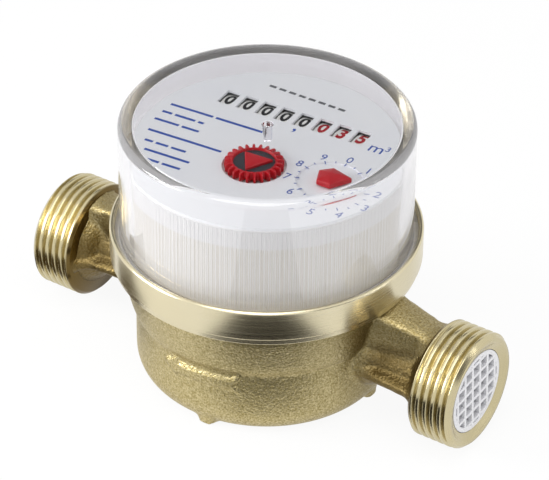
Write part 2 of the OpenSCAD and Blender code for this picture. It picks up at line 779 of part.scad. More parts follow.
module second_arbor() {
  color(white_plastic) at_arbor(second_at) {
    arbor(train_z + train_plate_t);
    translate([0, 0, level_two]) gear(second_teeth, second_module, wheel_t, second_phase);
    translate([0, 0, level_three]) gear(third_pinion_teeth, third_module, wheel_t);
  }
}

module pointer_arbor() {
  color(white_plastic) at_arbor(pointer_at) {
    arbor(pointer_base);
    translate([0, 0, level_three]) gear(pointer_teeth, third_module, wheel_t, pointer_phase);
    translate([0, 0, level_low]) gear(worm_wheel_teeth, worm_wheel_module, wheel_t);
  }
}

// Litre pointer: a blunt arrow head with a round hub
module litre_pointer() {
  pointer_bearing = 20;
  hub_r = 2.2;
  hub_proud = 0.5;
  barb = [0.4, 3.2];
  tail = [-2.6, 1.9];
  color(red_plastic) at_arbor(pointer_at, pointer_base) rotate(pointer_bearing) {
    linear_extrude(pointer_t)
      polygon([[pointer_reach, 0], barb, tail, [tail[0], -tail[1]], [barb[0], -barb[1]]]);
    cylinder(r = hub_r, h = pointer_t + hub_proud);
  }
}

module idler_wheel() {
  color(white_plastic) at_arbor(idler_at, level_low) difference() {
    gear(idler_teeth, worm_wheel_module, wheel_t, idler_phase);
    translate([0, 0, -over]) cylinder(d = arbor_d + 2 * run_clear, h = wheel_t + 2 * over);
  }
}

// Worm: a circle set off its axis and wound up, which gives one rounded thread
module worm_arbor() {
  core_r = worm_r - worm_tooth_h / 2;
  // Turns the groove that the wheel's tooth lies in towards the drum
  groove_turn = 270 - 180 * worm_length / worm_lead;
  color(white_plastic) at_arbor(worm_at) {
    arbor(train_z + train_plate_t);
    translate([0, 0, level_low]) gear(worm_wheel_teeth, worm_wheel_module, wheel_t, worm_phase);
    translate([0, 0, drum_z - worm_length / 2])
      rotate(groove_turn)
      linear_extrude(worm_length, twist = -360 * worm_length / worm_lead,
                     slices = round(12 * worm_length / worm_lead), $fn = 16)
      translate([worm_tooth_h / 2, 0]) circle(core_r);
  }
}

// Number drum i, counted from the right: rim, wheel on its right, carry disc on its left.
// The first has a sleeve and a small wheel for the worm instead of the wheel on its right.
module drum(i) {
  rim_half = rim_w / 2;
  carry_step = 0.5;
  carry_disc_r = carry_r - carry_step;
  carry_half = 8;
  // How far the wheel and the disc reach into the rim
  rooted = rim_w / 4;
  phase = 180 + pinion_angle;
  color(white_plastic) difference() {
    union() {
      along_row(drum_x(i) - rim_half, row_y, drum_z) cylinder(r = drum_r, h = rim_w);
      if (i == 1) {
        along_row(drum_x(i), row_y, drum_z)
          cylinder(d = sleeve_d, h = worm_x + worm_gear_t / 2 - drum_x(i));
        along_row(worm_x - worm_gear_t / 2, row_y, drum_z)
          gear(worm_gear_teeth, drum_module, worm_gear_t, 0);
      } else {
        along_row(drum_x(i) + rim_half - rooted, row_y, drum_z)
          gear(drum_teeth, drum_module, rooted + flank_w, phase);
      }
      if (i < drum_count) along_row(drum_x(i) - rim_half - flank_w, row_y, drum_z)
        linear_extrude(flank_w + rooted) {
          circle(carry_disc_r);
          polygon([[0, 0], polar(carry_r, 90 - carry_half), polar(carry_r, 90 + carry_half)]);
        }
    }
    along_row(drum_x(drum_count) - drum_pitch, row_y, drum_z)
      cylinder(d = drum_shaft_d + 2 * run_clear, h = 4 * cup_r);
  }
}

module drum_1() { drum(1); }
module drum_2() { drum(2); }
module drum_3() { drum(3); }
module drum_4() { drum(4); }
module drum_5() { drum(5); }
module drum_6() { drum(6); }
module drum_7() { drum(7); }
module drum_8() { drum(8); }

// Transfer pinion i, between drum i and the next one to its left
module pinion(i) {
  middle_x = drum_x(i) - drum_pitch / 2;
  // The line from the drum shaft to the pinion shaft points down and away from the reader
  line = -pinion_angle;
  drum_phase = 180 + pinion_angle;
  phase = line + 180 + 180 / drum_pinion_teeth
    - (drum_teeth / drum_pinion_teeth) * (drum_phase - line);
  color(white_plastic) difference() {
    along_row(middle_x - drum_pinion_w / 2, pinion_y, pinion_z)
      gear(drum_pinion_teeth, drum_module, drum_pinion_w, phase);
    along_row(middle_x - drum_pitch, pinion_y, pinion_z)
      cylinder(d = pinion_shaft_d + 2 * run_clear, h = 2 * drum_pitch);
  }
}

module pinion_1() { pinion(1); }
module pinion_2() { pinion(2); }
module pinion_3() { pinion(3); }
module pinion_4() { pinion(4); }
module pinion_5() { pinion(5); }
module pinion_6() { pinion(6); }
module pinion_7() { pinion(7); }

body();
head_ring();
pressure_plate();
plate_seal();
inlet_strainer();
lower_pivot_bush();
impeller();
impeller_shaft();
impeller_magnet();
register_cup();
train_plate();
train_plate_screws();
drum_frame();
drum_shaft();
pinion_shaft();
dial_plate();
clear_cover();
shield_ring();
follower_rotor();
follower_magnet();
star_arbor();
star_wheel();
second_arbor();
pointer_arbor();
litre_pointer();
idler_wheel();
worm_arbor();
drum_1();
drum_2();
drum_3();
drum_4();
drum_5();
drum_6();
drum_7();
drum_8();
pinion_1();
pinion_2();
pinion_3();
pinion_4();
pinion_5();
pinion_6();
pinion_7();
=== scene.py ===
# %% [markdown]
# # A dry-dial water meter
# This lesson dresses a small house water meter. The frame brings the solids at their real size: a
# forged brass body, a head ring, a register with eight number drums, and the gear train between them.
# Here they get the skins, threads, print and finishes that a camera sees.

# %% Load the frame
import json
import bmesh
import bpy
import numpy as np
from mathutils import Matrix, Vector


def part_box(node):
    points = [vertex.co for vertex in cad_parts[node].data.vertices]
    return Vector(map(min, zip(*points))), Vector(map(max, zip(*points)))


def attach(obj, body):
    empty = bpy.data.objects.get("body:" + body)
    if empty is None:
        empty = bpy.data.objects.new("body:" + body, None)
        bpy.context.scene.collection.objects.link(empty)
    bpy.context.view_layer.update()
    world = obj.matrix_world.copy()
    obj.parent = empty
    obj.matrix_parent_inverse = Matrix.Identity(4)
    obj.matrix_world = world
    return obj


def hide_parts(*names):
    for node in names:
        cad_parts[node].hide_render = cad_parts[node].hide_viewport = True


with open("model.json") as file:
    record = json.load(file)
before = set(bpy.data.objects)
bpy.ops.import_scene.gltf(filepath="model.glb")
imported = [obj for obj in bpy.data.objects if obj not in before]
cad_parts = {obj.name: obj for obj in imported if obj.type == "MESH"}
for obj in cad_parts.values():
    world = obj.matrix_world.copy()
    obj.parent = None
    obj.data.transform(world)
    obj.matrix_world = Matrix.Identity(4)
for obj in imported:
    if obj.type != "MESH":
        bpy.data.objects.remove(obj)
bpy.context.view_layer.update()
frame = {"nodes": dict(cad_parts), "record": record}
nodes = frame["nodes"]
MM = 0.001

# %% [markdown]
# ## Camera
# The photograph was taken from above, a little to the right of the reader. A long lens keeps the two
# threaded ends nearly parallel. The camera is placed by its azimuth, elevation and distance from the
# middle of the pipe, and then aimed so that this middle lands on its own pixel with no lens shift.

# %% Camera
PICTURE_PX = np.array([549, 480])
SENSOR_W = 36.0
view_azimuth, view_elevation, view_roll = np.radians([33.755, 36.089, 0.514])
view_distance = 716.74 * MM
focal_px = 3246.4
pipe_middle = np.array([0, 0, 14.4]) * MM
pipe_middle_px = np.array([265.912, 306.072])

back = np.array([np.sin(view_azimuth) * np.cos(view_elevation),
                 -np.cos(view_azimuth) * np.cos(view_elevation), np.sin(view_elevation)])
level = np.array([np.cos(view_azimuth), np.sin(view_azimuth), 0])
upright = np.cross(back, level)
right = level * np.cos(view_roll) + upright * np.sin(view_roll)
up = upright * np.cos(view_roll) - level * np.sin(view_roll)
off_axis = (PICTURE_PX / 2 - pipe_middle_px) / focal_px
gaze = -back + off_axis[0] * right - off_axis[1] * up
gaze /= np.linalg.norm(gaze)
side = np.cross(gaze, up)
side /= np.linalg.norm(side)

camera = bpy.data.objects.new("camera", bpy.data.cameras.new("camera"))
camera.data.sensor_fit = "HORIZONTAL"
camera.data.sensor_width = SENSOR_W
camera.data.lens = focal_px / PICTURE_PX[0] * SENSOR_W
pose = np.eye(4)
pose[:3, 0] = side
pose[:3, 1] = np.cross(side, gaze)
pose[:3, 2] = -gaze
pose[:3, 3] = pipe_middle + back * view_distance
camera.matrix_world = Matrix(pose.tolist())
bpy.context.scene.collection.objects.link(camera)
bpy.context.scene.camera = camera
bpy.context.scene.view_settings.view_transform = "Standard"
print("camera: lens", round(camera.data.lens, 1), "mm")

# %% [markdown]
# ## Tools for surfaces
# Nearly every new piece is a grid of points worked out with numpy. `grid_faces` joins a grid into quads
# and can close it along either direction, and `add_piece` makes the object. `revolve` carries a profile
# of radius and height around an axis, and is all that a lathe needs.


# %% Tools for surfaces
def add_piece(name, points, faces, material, body, slot, smooth_deg=35):
    """Makes a mesh object from an (n, 3) array of points in metres and an array of faces."""
    mesh = bpy.data.meshes.new(name)
    mesh.from_pydata(np.asarray(points).tolist(), [], [list(face) for face in faces])
    shaped = bmesh.new()
    shaped.from_mesh(mesh)
    bmesh.ops.remove_doubles(shaped, verts=shaped.verts, dist=1e-7)
    bmesh.ops.dissolve_degenerate(shaped, edges=shaped.edges, dist=1e-8)
    bmesh.ops.recalc_face_normals(shaped, faces=shaped.faces)
    shaped.to_mesh(mesh)
    shaped.free()
    mesh.shade_smooth()
    mesh.set_sharp_from_angle(angle=np.radians(smooth_deg))
    mesh.materials.append(material)
    piece = bpy.data.objects.new(name, mesh)
    bpy.context.scene.collection.objects.link(piece)
    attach(piece, body)
    print(name, "has", len(mesh.polygons), "faces")
    return piece


def grid_faces(rows, columns, close_rows=False, close_columns=False):
    """Quads of a grid: each joins a point to the next row and the next column, and a closed
    direction joins its last line to its first."""
    row, column = np.meshgrid(np.arange(rows if close_rows else rows - 1),
                              np.arange(columns if close_columns else columns - 1), indexing="ij")
    next_row = (row + 1) % rows
    next_column = (column + 1) % columns
    corners = [row * columns + column, row * columns + next_column,
               next_row * columns + next_column, next_row * columns + column]
    return np.stack([c.ravel() for c in corners], axis=1)


def add_grid(name, grid, material, body, slot, smooth_deg, close_rows=True):
    """Makes a piece from a grid of points in millimetres. Its columns close into rings, and its rows
    close too unless the first and the last lie on the axis."""
    faces = grid_faces(*grid.shape[:2], close_rows=close_rows, close_columns=True)
    return add_piece(name, grid.reshape(-1, 3) * MM, faces, material, body, slot, smooth_deg)


def revolve(profile, steps):
    """Turns a profile of (radius, height) about Z: x = r cos a, y = r sin a, z = h."""
    profile = np.asarray(profile, float)
    angle = np.linspace(0, 2 * np.pi, steps, endpoint=False)
    radius, height = profile[:, :1], profile[:, 1:]
    return np.stack([radius * np.cos(angle), radius * np.sin(angle),
                     height + 0 * angle], axis=-1)


def arc(centre, radius, start_deg, end_deg, steps=8):
    """Points on a circle between two angles, for the rounded corners of a profile."""
    angle = np.radians(np.linspace(start_deg, end_deg, steps))
    return np.stack([centre[0] + radius * np.cos(angle), centre[1] + radius * np.sin(angle)], axis=1)


def rounded(corners, radius, steps=4):
    """Replaces each corner of a closed profile by a short quadratic curve that starts and ends one
    radius before and after it, or less on a short side."""
    corners = np.asarray(corners, float)
    before, after = np.roll(corners, 1, axis=0), np.roll(corners, -1, axis=0)
    t = np.linspace(0, 1, steps)[None, :, None]

    def towards(other):
        gap = other - corners
        length = np.linalg.norm(gap, axis=1, keepdims=True)
        return corners + gap / length * np.minimum(radius, 0.45 * length)

    first, last = towards(before)[:, None], towards(after)[:, None]
    curve = (1 - t) ** 2 * first + 2 * t * (1 - t) * corners[:, None] + t ** 2 * last
    return curve.reshape(-1, 2)


def box_mm(node):
    """Lowest and highest corner of a CAD node, in millimetres."""
    low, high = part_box(node)
    return np.array(low) / MM, np.array(high) / MM


# %% [markdown]
# ## Tools for finishes
# Colours are written as sRGB hex codes and turned to linear light once. `put` adds one shader node:
# plain values are set on its sockets, and sockets given as values are linked. The short functions after
# it add the nodes that the finishes share. Patterns read Object coordinates, which are metres here, so a
# pattern of a size in millimetres has a scale of one over it.


# %% Tools for finishes
def linear(hex_code):
    """sRGB hex to linear RGBA, with the standard curve."""
    value = np.array([int(hex_code[i:i + 2], 16) for i in (1, 3, 5)]) / 255
    light = np.where(value <= 0.04045, value / 12.92, ((value + 0.055) / 1.055) ** 2.4)
    return (*light.tolist(), 1.0)


def per_mm(size):
    """Scale of a pattern whose features measure so many millimetres."""
    return 1 / (size * MM)


def put(tree, kind, inputs=None, **settings):
    """Adds a node: settings are its properties, inputs are values for its sockets or links to them."""
    node = tree.nodes.new(kind)
    for key, value in settings.items():
        setattr(node, key, value)
    for key, value in (inputs or {}).items():
        if isinstance(value, bpy.types.NodeSocket):
            tree.links.new(value, node.inputs[key])
        else:
            node.inputs[key].default_value = value
    return node


def noise(tree, place, size, detail=2.0, **inputs):
    """Soft noise whose features measure so many millimetres."""
    values = {"Vector": place, "Scale": per_mm(size), "Detail": detail, **inputs}
    return put(tree, "ShaderNodeTexNoise", values).outputs["Fac"]


def ramp(tree, value, low, high, start=0.0, end=1.0, **settings):
    """Carries the range from low to high over to the range from start to end."""
    values = {"Value": value, "From Min": low, "From Max": high, "To Min": start, "To Max": end}
    return put(tree, "ShaderNodeMapRange", values, **settings).outputs["Result"]


def combine(tree, operation, first, second=0.0):
    """One step of arithmetic on one or two values."""
    return put(tree, "ShaderNodeMath", {0: first, 1: second}, operation=operation).outputs["Value"]


def blend(tree, factor, first, second):
    """Mixes two colours, which are hex codes or sockets."""
    ends = [linear(end) if isinstance(end, str) else end for end in (first, second)]
    mix = put(tree, "ShaderNodeMix", {"Factor": factor, "A": ends[0], "B": ends[1]}, data_type="RGBA")
    return mix.outputs["Result"]


def relief(tree, height, depth, strength):
    """Bump of a depth in millimetres."""
    values = {"Height": height, "Distance": depth * MM, "Strength": strength}
    return put(tree, "ShaderNodeBump", values).outputs["Normal"]


def start_material(name):
    """An empty node material and the Object coordinates that its patterns read."""
    material = bpy.data.materials.new(name)
    material.use_nodes = True
    material.node_tree.nodes.clear()
    coordinates = put(material.node_tree, "ShaderNodeTexCoord").outputs["Object"]
    return material, material.node_tree, coordinates


def finish_material(tree, inputs):
    """Ends a material with one Principled shader."""
    shader = put(tree, "ShaderNodeBsdfPrincipled", inputs)
    put(tree, "ShaderNodeOutputMaterial", {"Surface": shader.outputs["BSDF"]})


def finish_mix(tree, share, first, second):
    """Ends a material with a mix of two shaders: a share of the second, the rest from the first."""
    both = put(tree, "ShaderNodeMixShader", {"Fac": share, 1: first, 2: second})
    put(tree, "ShaderNodeOutputMaterial", {"Surface": both.outputs["Shader"]})


print("tools for surfaces and finishes are ready")

# %% [markdown]
# ## Brass
# The body is hot-forged brass, shot-blasted to clean it: a dense field of tiny dents that scatters the
# light, so it looks sandy and a little dull. The ring and the threads are turned on a lathe after that:
# the tool leaves fine rings, which stretch every reflection across them. The turned metal is a little
# paler. The hollows of the necks and the backs of the collars have painted shade: a dark tone is mixed into
# their colour.

# %% Brass finishes
pot_side, neck_side = 25, 33
hollow_height, neck_top_height = 17, 23
collar_back = 45.2
# Painted shade: the dark tone that is mixed into the neck hollows and the backs of the collars.
painted_shade_tone = "#6C5A34"


def forged_brass():
    """Shot-blasted forging: grit of about 0.4 mm, two pixels of the picture, and dents a little wider,
    which sparkle as the real ones do, over a slow drift of tone."""
    material, tree, place = start_material("forged_shot_blasted_brass")
    grit = noise(tree, place, 0.4, 3.0, Roughness=0.6)
    dents = put(tree, "ShaderNodeTexVoronoi", {"Vector": place, "Scale": per_mm(0.55)},
                feature="SMOOTH_F1")
    tone = blend(tree, noise(tree, place, 9, 3.0), "#C8B98A", "#DFD1A6")
    unshaded_colour = blend(tree, ramp(tree, grit, 0.36, 0.66), "#A0915E", tone)
    apart = put(tree, "ShaderNodeSeparateXYZ", {"Vector": place}).outputs
    # Painted shade: along the necks the colour is mixed towards the dark tone, strongly below hollow_height
    # and less above neck_top_height.
    neck = ramp(tree, combine(tree, "ABSOLUTE", apart["X"]), pot_side * MM, neck_side * MM,
                interpolation_type="SMOOTHSTEP")
    hollow_shade = ramp(tree, apart["Z"], hollow_height * MM, neck_top_height * MM, 0.88, 0.4,
                  interpolation_type="SMOOTHSTEP")
    height = combine(tree, "ADD", grit, dents.outputs["Distance"])
    colour = blend(tree, combine(tree, "MULTIPLY", neck, hollow_shade), unshaded_colour, painted_shade_tone)
    finish_material(tree, {"Base Color": colour, "Metallic": 1.0,
                           "Roughness": ramp(tree, grit, 0.3, 0.7, 0.48, 0.28),
                           "Normal": relief(tree, height, 0.12, 1.0)})
    return material


def turned_brass(name, axis, dark, light, painted_shade_to=0.0):
    """Lathe-turned brass: tool rings around one axis, with the reflections drawn out across them. Up to
    the last argument, in mm along the axis from the middle, it has the dark tone as painted shade."""
    material, tree, place = start_material(name)
    stretch = tuple(1.0 if letter == axis else 0.01 for letter in "XYZ")
    drawn_out = put(tree, "ShaderNodeMapping", {"Vector": place, "Scale": stretch}).outputs["Vector"]
    rings = noise(tree, drawn_out, 0.35)
    bright = blend(tree, noise(tree, place, 12), dark, light)
    along = put(tree, "ShaderNodeSeparateXYZ", {"Vector": place}).outputs[axis]
    # Painted shade: this share is 0 on the backs of the collars, which take the dark shade tone, and 1 past
    # them.
    turned = ramp(tree, combine(tree, "ABSOLUTE", along), painted_shade_to * MM, (painted_shade_to + 0.4) * MM)
    tangent = put(tree, "ShaderNodeTangent", direction_type="RADIAL", axis=axis)
    finish_material(tree, {"Base Color": blend(tree, turned, painted_shade_tone, bright), "Metallic": 1.0,
                           "Roughness": ramp(tree, rings, 0.3, 0.7, 0.22, 0.28), "Anisotropic": 0.75,
                           "Anisotropic Rotation": 0.25, "Tangent": tangent.outputs["Tangent"],
                           "Normal": relief(tree, rings, 0.006, 0.3)})
    return material


brass_forged = forged_brass()
brass_ring = turned_brass("turned_brass_ring", "Z", "#D6CBA9", "#E2D9BC")
brass_thread = turned_brass("turned_brass_thread", "X", "#C4B890", "#D1C6A2", collar_back)
print("brass:", brass_forged.name, brass_ring.name, brass_thread.name)

# %% [markdown]
# ## Plastics, ink and small metals
# The register is moulded plastic: a satin white cup and dial, glossy red indicators and a clear cover.
# Moulded plastic has a faint skin texture and a soft, slightly uneven gloss. Ink lies dull on the dial.

# %% Plastics, ink and small metals
milky_from, milky_to = 29.0, 31.0
# Painted shade: below these heights the cup has a darker, warmer tone, and above them it is white.
painted_shade_below, white_above = 50.2, 50.8


def moulded(name, dark, light, roughness, metallic=0.0):
    """Moulded or printed surface: two close tones, a skin of fine grain and a soft gloss."""
    material, tree, place = start_material(name)
    grain = noise(tree, place, 0.8)
    finish_material(tree, {"Base Color": blend(tree, noise(tree, place, 14), dark, light),
                           "Metallic": metallic, "IOR": 1.5,
                           "Roughness": ramp(tree, grain, 0.3, 0.7, roughness - 0.04, roughness + 0.04),
                           "Normal": relief(tree, grain, 0.01, 0.4)})
    return material


def clear_polycarbonate():
    """Clear moulded polycarbonate: smooth and strongly refracting. Its thick wall is a little milky, so it
    shows pale at the rim. Shadow rays and diffuse rays pass straight through it."""
    material, tree, place = start_material("moulded_clear_polycarbonate")
    waves = noise(tree, place, 11, 1.0)
    flat = put(tree, "ShaderNodeVectorMath", {0: place, 1: (1, 1, 0)}, operation="MULTIPLY")
    reach = put(tree, "ShaderNodeVectorMath", {0: flat.outputs["Vector"]}, operation="LENGTH")
    clear = ramp(tree, reach.outputs["Value"], milky_from * MM, milky_to * MM, 1.0, 0.8)
    shader = put(tree, "ShaderNodeBsdfPrincipled",
                 {"Base Color": linear("#F4F3F6"), "Roughness": 0.02, "IOR": 1.58,
                  "Transmission Weight": clear, "Normal": relief(tree, waves, 0.05, 0.25)})
    open_way = put(tree, "ShaderNodeBsdfTransparent", {"Color": linear("#F4F4F2")})
    path = put(tree, "ShaderNodeLightPath").outputs
    passes = combine(tree, "MAXIMUM", path["Is Shadow Ray"], path["Is Diffuse Ray"])
    finish_mix(tree, passes, shader.outputs["BSDF"], open_way.outputs["BSDF"])
    return material


def fluted_abs():
    """White moulding whose colour changes with the height: below the dial it is mixed to a darker, warmer
    tone, as painted shade."""
    material, tree, place = start_material("moulded_white_abs_painted_shade")
    height = put(tree, "ShaderNodeSeparateXYZ", {"Vector": place}).outputs["Z"]
    white = ramp(tree, height, painted_shade_below * MM, white_above * MM, interpolation_type="SMOOTHSTEP")
    finish_material(tree, {"Base Color": blend(tree, white, "#DDD8CF", "#E9E9EC"), "Roughness": 0.35,
                           "IOR": 1.5})
    return material


cup_white = fluted_abs()
white_abs = moulded("moulded_white_abs", "#E9E9EA", "#F1F1F1", 0.38)
dial_white = moulded("printed_white_dial", "#F3F6FE", "#F9FBFF", 0.42)
drum_white = moulded("moulded_white_acetal", "#F1F1EF", "#F8F8F6", 0.36)
strainer_white = moulded("moulded_white_nylon", "#E8E8EC", "#F2F2F5", 0.45)
red_abs = moulded("moulded_red_abs", "#B80A1A", "#C91424", 0.35)
dark_disc = moulded("moulded_dark_abs", "#2A3036", "#343B42", 0.4)
blue_ink = moulded("printed_blue_ink", "#2C4FA6", "#3659B4", 0.5)
black_ink = moulded("printed_black_ink", "#1B1C1F", "#242529", 0.5)
grey_ink = moulded("printed_grey_ink", "#5E6066", "#6A6C72", 0.5)
red_ink = moulded("printed_red_ink", "#A41423", "#B81B2B", 0.5)
steel_ground = moulded("ground_steel", "#8E9094", "#A3A5A8", 0.3, metallic=1.0)
ferrite_sintered = moulded("sintered_ferrite", "#232326", "#2E2E31", 0.6)
rubber_black = moulded("moulded_nitrile_rubber", "#151515", "#1D1D1D", 0.7)
clear_cover_material = clear_polycarbonate()

slot_finish = {"forged_brass": brass_forged, "turned_brass": brass_ring, "white_plastic": white_abs,
               "clear_plastic": clear_cover_material, "red_plastic": red_abs, "steel": steel_ground,
               "ferrite": ferrite_sintered, "rubber": rubber_black}
node_finish = {part["node"]: slot_finish[part["material_slot"]] for part in frame["record"]["subparts"]}
node_finish["dial_plate"] = dial_white
node_finish["inlet_strainer"] = strainer_white
node_finish.update({name: drum_white for name in nodes if name.startswith("drum_") and name[5:].isdigit()})
for name, material in node_finish.items():
    nodes[name].data.materials.clear()
    nodes[name].data.materials.append(material)
print("finishes on", len(node_finish), "solids")

# %% [markdown]
# ## The forging
# The body was pressed from a hot billet, so no corner on it is sharp: the pot, the necks and the ledge
# on the parting plane run into each other in soft curves. A copy of the solid is remeshed into even
# quads, and each point is then drawn towards the mean of its neighbours, which rounds the corners as
# the die did. Machined places keep their form: their points are held.

# %% The forging
body_high = box_mm("body")[1]
ring_low, ring_high = box_mm("head_ring")
thread_length = 10.0
thread_start = body_high[0] - thread_length
axis_height = 14.4
pot_r = 28.6
chamber_r = 24.5
skin_voxel = 0.51 * MM
relax_rounds = 5


def relaxed(points, edges, freedom, rounds):
    """Draws each point half of the way to the mean of its neighbours, times its own freedom."""
    ends = np.concatenate([edges, edges[:, ::-1]])
    count = len(points)
    degree = np.maximum(np.bincount(ends[:, 0], minlength=count), 1)[:, None]
    for _ in range(rounds):
        total = np.stack([np.bincount(ends[:, 0], points[ends[:, 1], axis], count) for axis in range(3)],
                         axis=1)
        points = points + 0.5 * freedom * (total / degree - points)
    return points


def smooth_step(value, low, high):
    """0 below low, 1 above high, and a smooth S between them."""
    t = np.clip((value - low) / (high - low), 0, 1)
    return t * t * (3 - 2 * t)


def even_copy(node, voxel):
    """A merged copy of a CAD solid, remeshed into even quads."""
    mesh = node.data.copy()
    merged = bmesh.new()
    merged.from_mesh(mesh)
    bmesh.ops.remove_doubles(merged, verts=merged.verts, dist=1e-6)
    merged.to_mesh(mesh)
    merged.free()
    copy = bpy.data.objects.new("copy", mesh)
    bpy.context.scene.collection.objects.link(copy)
    remesh = copy.modifiers.new("even", "REMESH")
    remesh.mode = "VOXEL"
    remesh.voxel_size = voxel
    evaluated = copy.evaluated_get(bpy.context.evaluated_depsgraph_get())
    result = bpy.data.meshes.new_from_object(evaluated)
    bpy.data.objects.remove(copy)
    return result


def mesh_arrays(mesh):
    """Points in millimetres and edges of a mesh, as arrays."""
    points = np.zeros(len(mesh.vertices) * 3)
    mesh.vertices.foreach_get("co", points)
    edges = np.zeros(len(mesh.edges) * 2, dtype=np.int64)
    mesh.edges.foreach_get("vertices", edges)
    return points.reshape(-1, 3) / MM, edges.reshape(-1, 2)


skin_mesh = even_copy(nodes["body"], skin_voxel)
skin, skin_edges = mesh_arrays(skin_mesh)
radius = np.hypot(skin[:, 0], skin[:, 1])
below_ring = smooth_step(ring_low[2] - skin[:, 2], -0.2, 0.8)
before_thread = smooth_step(thread_start - np.abs(skin[:, 0]), 0.0, 1.5)
outside = smooth_step(np.maximum(radius, np.abs(skin[:, 0])) - chamber_r, 0, 2)
freedom = (below_ring * before_thread * outside)[:, None]
skin = relaxed(skin, skin_edges, freedom, relax_rounds)
print("forging:", len(skin), "points")

# %% [markdown]
# The die left the necks waisted: above and below the ledge of the parting plane the pipe is thinner, and
# at the thread it flares into its collar. Both move the outer skin along the ray from the pipe's axis,
# by smooth steps of the place along the neck and of the height.

# %% Waisted necks
ledge_low, ledge_high = 12.4, 14.4
waist_depth = 1.45
waist_start, waist_end = 29.5, 43.6
waist_foot, waist_top = 5.0, 22.5
flare_depth = 2.4
flare_start, flare_end = 41.0, 46.0
collar_r = 12.6
bore_skin_r = 6.0
along = np.abs(skin[:, 0])
rise = skin[:, 2]
ray = np.stack([skin[:, 1], rise - axis_height], axis=1)
around = np.linalg.norm(ray, axis=1)
outer = smooth_step(around - bore_skin_r, 0, 0.6)
on_neck = outer * smooth_step(along - waist_start, 0, 3.5) * smooth_step(waist_end - along, 0, 3)
above = smooth_step(rise, ledge_high, ledge_high + 1.3) * smooth_step(waist_top - rise, 0, 3.5)
under = smooth_step(ledge_low - rise, 0, 1.3) * smooth_step(rise - waist_foot, 0, 2)
waist = waist_depth * on_neck * (above + under)
flare = flare_depth * outer * smooth_step(along, flare_start, flare_end)
flare *= smooth_step(collar_r - around, 0, 3)
skin[:, 1:] += ray * ((flare - waist) / np.maximum(around, 1))[:, None]
print("necks: deepest waist", round(float(waist.max()), 2), "mm")

# %% [markdown]
# ## The raised arrow
# A flow arrow stands in relief on the pot, pointing to the outlet. It is drawn as an outline on the
# unrolled pot (arc length and height), and each point of the skin is lifted by a smooth step of its
# distance inside that outline.

# %% The raised arrow
arrow_relief = 0.65
arrow_edge = 0.5
arrow_middle_deg = -86.0
arrow_height = 14.0
arrow_outline = np.array([[-9.8, 0.2], [-5.6, 2.6], [-5.4, 1.4], [7.6, 1.4], [9.6, 2.2], [8.2, 0.0],
                          [9.8, -2.3], [7.4, -1.4], [-5.4, -1.4], [-5.6, -2.4]])


def depth_inside(points, outline):
    """Signed distance of (n, 2) points to a closed outline, positive inside it. The sign comes from
    counting how many sides a ray crosses."""
    nearest = np.full(len(points), np.inf)
    inside = np.zeros(len(points), dtype=bool)
    for a, b in zip(outline, np.roll(outline, -1, axis=0)):
        way = b - a
        share = np.clip(((points - a) @ way) / (way @ way), 0, 1)
        nearest = np.minimum(nearest, np.linalg.norm(points - a - share[:, None] * way, axis=1))
        crosses = (a[1] > points[:, 1]) != (b[1] > points[:, 1])
        with np.errstate(divide="ignore", invalid="ignore"):
            at_x = a[0] + (points[:, 1] - a[1]) * way[0] / way[1]
        inside ^= crosses & (points[:, 0] < at_x)
    return np.where(inside, nearest, -nearest)


angle = np.arctan2(skin[:, 1], skin[:, 0]) - np.radians(arrow_middle_deg)
radius = np.hypot(skin[:, 0], skin[:, 1])
unrolled = np.stack([pot_r * angle, skin[:, 2] - arrow_height], axis=1)
lift = arrow_relief * smooth_step(depth_inside(unrolled, arrow_outline), -arrow_edge / 2, arrow_edge / 2)
lift *= (radius > pot_r - 2) & (skin[:, 1] < 0)
skin[:, :2] *= (1 + lift / np.maximum(radius, 1))[:, None]
print("arrow: lifted", int((lift > 0.1).sum()), "points")

# %% [markdown]
# The skin ends where the turned threads begin. It is cut there with a plane, and the ring-shaped
# opening between the outside and the bore is bridged, so that the forging stays a closed solid.

# %% Cut and close the forging
cut_at = thread_start - 0.25
skin_mesh.vertices.foreach_set("co", (skin * MM).ravel())
cut = bmesh.new()
cut.from_mesh(skin_mesh)
for sign in (1, -1):
    bmesh.ops.bisect_plane(cut, geom=cut.verts[:] + cut.edges[:] + cut.faces[:], dist=1e-7,
                           plane_co=(sign * cut_at * MM, 0, 0), plane_no=(sign, 0, 0), clear_outer=True)
    rim = [edge for edge in cut.edges if edge.is_boundary and edge.verts[0].co.x * sign > 0]
    bmesh.ops.bridge_loops(cut, edges=rim)
bmesh.ops.recalc_face_normals(cut, faces=cut.faces)
cut.to_mesh(skin_mesh)
cut.free()
skin_mesh.shade_smooth()
skin_mesh.materials.clear()
skin_mesh.materials.append(brass_forged)
forging = bpy.data.objects.new("body_forging", skin_mesh)
bpy.context.scene.collection.objects.link(forging)
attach(forging, "housing")
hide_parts("body")
print("forging:", len(skin_mesh.polygons), "faces")

# %% [markdown]
# ## Threads
# Both ends carry a parallel pipe thread. A thread is a lathe profile whose radius also depends on the
# angle: the groove moves one pitch along the axis for each turn. It starts at nothing behind the
# chamfer and runs out before the shoulder, as a cut thread does.

# %% Threads
thread_r = 13.22
crest_r = thread_r - 0.06
thread_pitch = 1.814
thread_depth = 1.05
crest_power = 2.6
mouth_r = 9.5
mouth_floor = body_high[0] - 9.6
bore_r = 5.6
thread_rows = 150
thread_steps = 180
chamfer = 0.9


